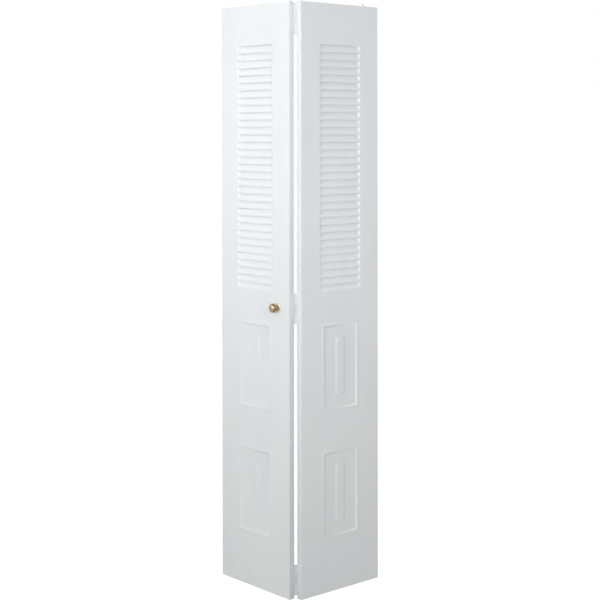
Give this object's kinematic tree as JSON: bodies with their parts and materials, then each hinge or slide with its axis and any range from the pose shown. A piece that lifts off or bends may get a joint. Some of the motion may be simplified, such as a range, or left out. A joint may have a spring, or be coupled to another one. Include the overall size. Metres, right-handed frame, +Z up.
{
  "type": "bifold closet door",
  "caption": "Louvred and panelled steel bifold closet door: two hinged leaves with pull knob, sprung top pivot, track guide and adjustable bottom pivot.",
  "frame": {"origin": "on the floor, at the middle of the box round the half-folded door", "axes": "+Z up; -Y towards the viewer, where the fold's outer edge is; the pivot leaf lies to +X"},
  "size_m": [0.5504, 0.2546, 2.0165],
  "materials": {
    "painted_skin": "satin white enamel",
    "painted_channel": "satin white enamel",
    "painted_hinge": "satin white enamel",
    "zinc_steel": "zinc plated",
    "spring_steel": "bright wire",
    "nylon": "natural nylon",
    "brass": "polished and lacquered"
  },
  "bodies": {
    "pivot_leaf": {"pivot_skin": "painted_skin", "pivot_top_channel": "painted_channel", "pivot_bottom_channel": "painted_channel", "pivot_lock_channel": "painted_channel", "pivot_mid_channel": "painted_channel", "top_hinge_pivot_plate": "painted_hinge", "middle_hinge_pivot_plate": "painted_hinge", "bottom_hinge_pivot_plate": "painted_hinge", "top_hinge_pin": "zinc_steel", "middle_hinge_pin": "zinc_steel", "bottom_hinge_pin": "zinc_steel", "top_pivot_bush": "nylon", "top_pivot_bracket": "zinc_steel", "top_pivot_spring": "spring_steel", "bottom_pivot_bracket": "zinc_steel"},
    "lead_leaf": {"lead_skin": "painted_skin", "lead_top_channel": "painted_channel", "lead_bottom_channel": "painted_channel", "lead_lock_channel": "painted_channel", "lead_mid_channel": "painted_channel", "top_hinge_lead_plate": "painted_hinge", "middle_hinge_lead_plate": "painted_hinge", "bottom_hinge_lead_plate": "painted_hinge", "top_guide_bush": "nylon", "knob_rose": "brass", "knob_head": "brass", "knob_screw": "zinc_steel"},
    "top_pivot": {"top_pivot_pin": "zinc_steel", "top_pivot_clip": "zinc_steel"},
    "top_guide": {"top_guide_pin": "nylon"},
    "bottom_nut": {"bottom_adjusting_nut": "zinc_steel"},
    "bottom_pivot": {"bottom_pivot_pin": "zinc_steel"}
  },
  "joints": [
    {"name": "fold", "type": "hinge", "parent": "pivot_leaf", "child": "lead_leaf", "pos_m": [0, -0.10912, 1], "axis": [0, 0, 1], "range_deg": [-89.8, 86.2]},
    {"name": "top_pivot_press", "type": "slide", "parent": "pivot_leaf", "child": "top_pivot", "axis": [0, 0, 1], "range_m": [-0.008, 0], "stiffness_N_per_m": 900, "springref_m": 0.006, "deforming": ["top_pivot_spring"]},
    {"name": "top_guide_lift", "type": "slide", "parent": "lead_leaf", "child": "top_guide", "axis": [0, 0, 1], "range_m": [0, 0.012]},
    {"name": "bottom_nut_turn", "type": "hinge", "parent": "pivot_leaf", "child": "bottom_nut", "pos_m": [0.22326, 0.07776, 0.007], "axis": [0, 0, 1], "range_deg": [0, 3960]},
    {"name": "bottom_pivot_drop", "type": "slide", "parent": "pivot_leaf", "child": "bottom_pivot", "axis": [0, 0, 1], "range_m": [-0.0156, 0]}
  ],
  "couplings": [
    {"joint": "bottom_pivot_drop", "follows": "bottom_nut_turn", "m_per_rad": -0.00022457}
  ]
}
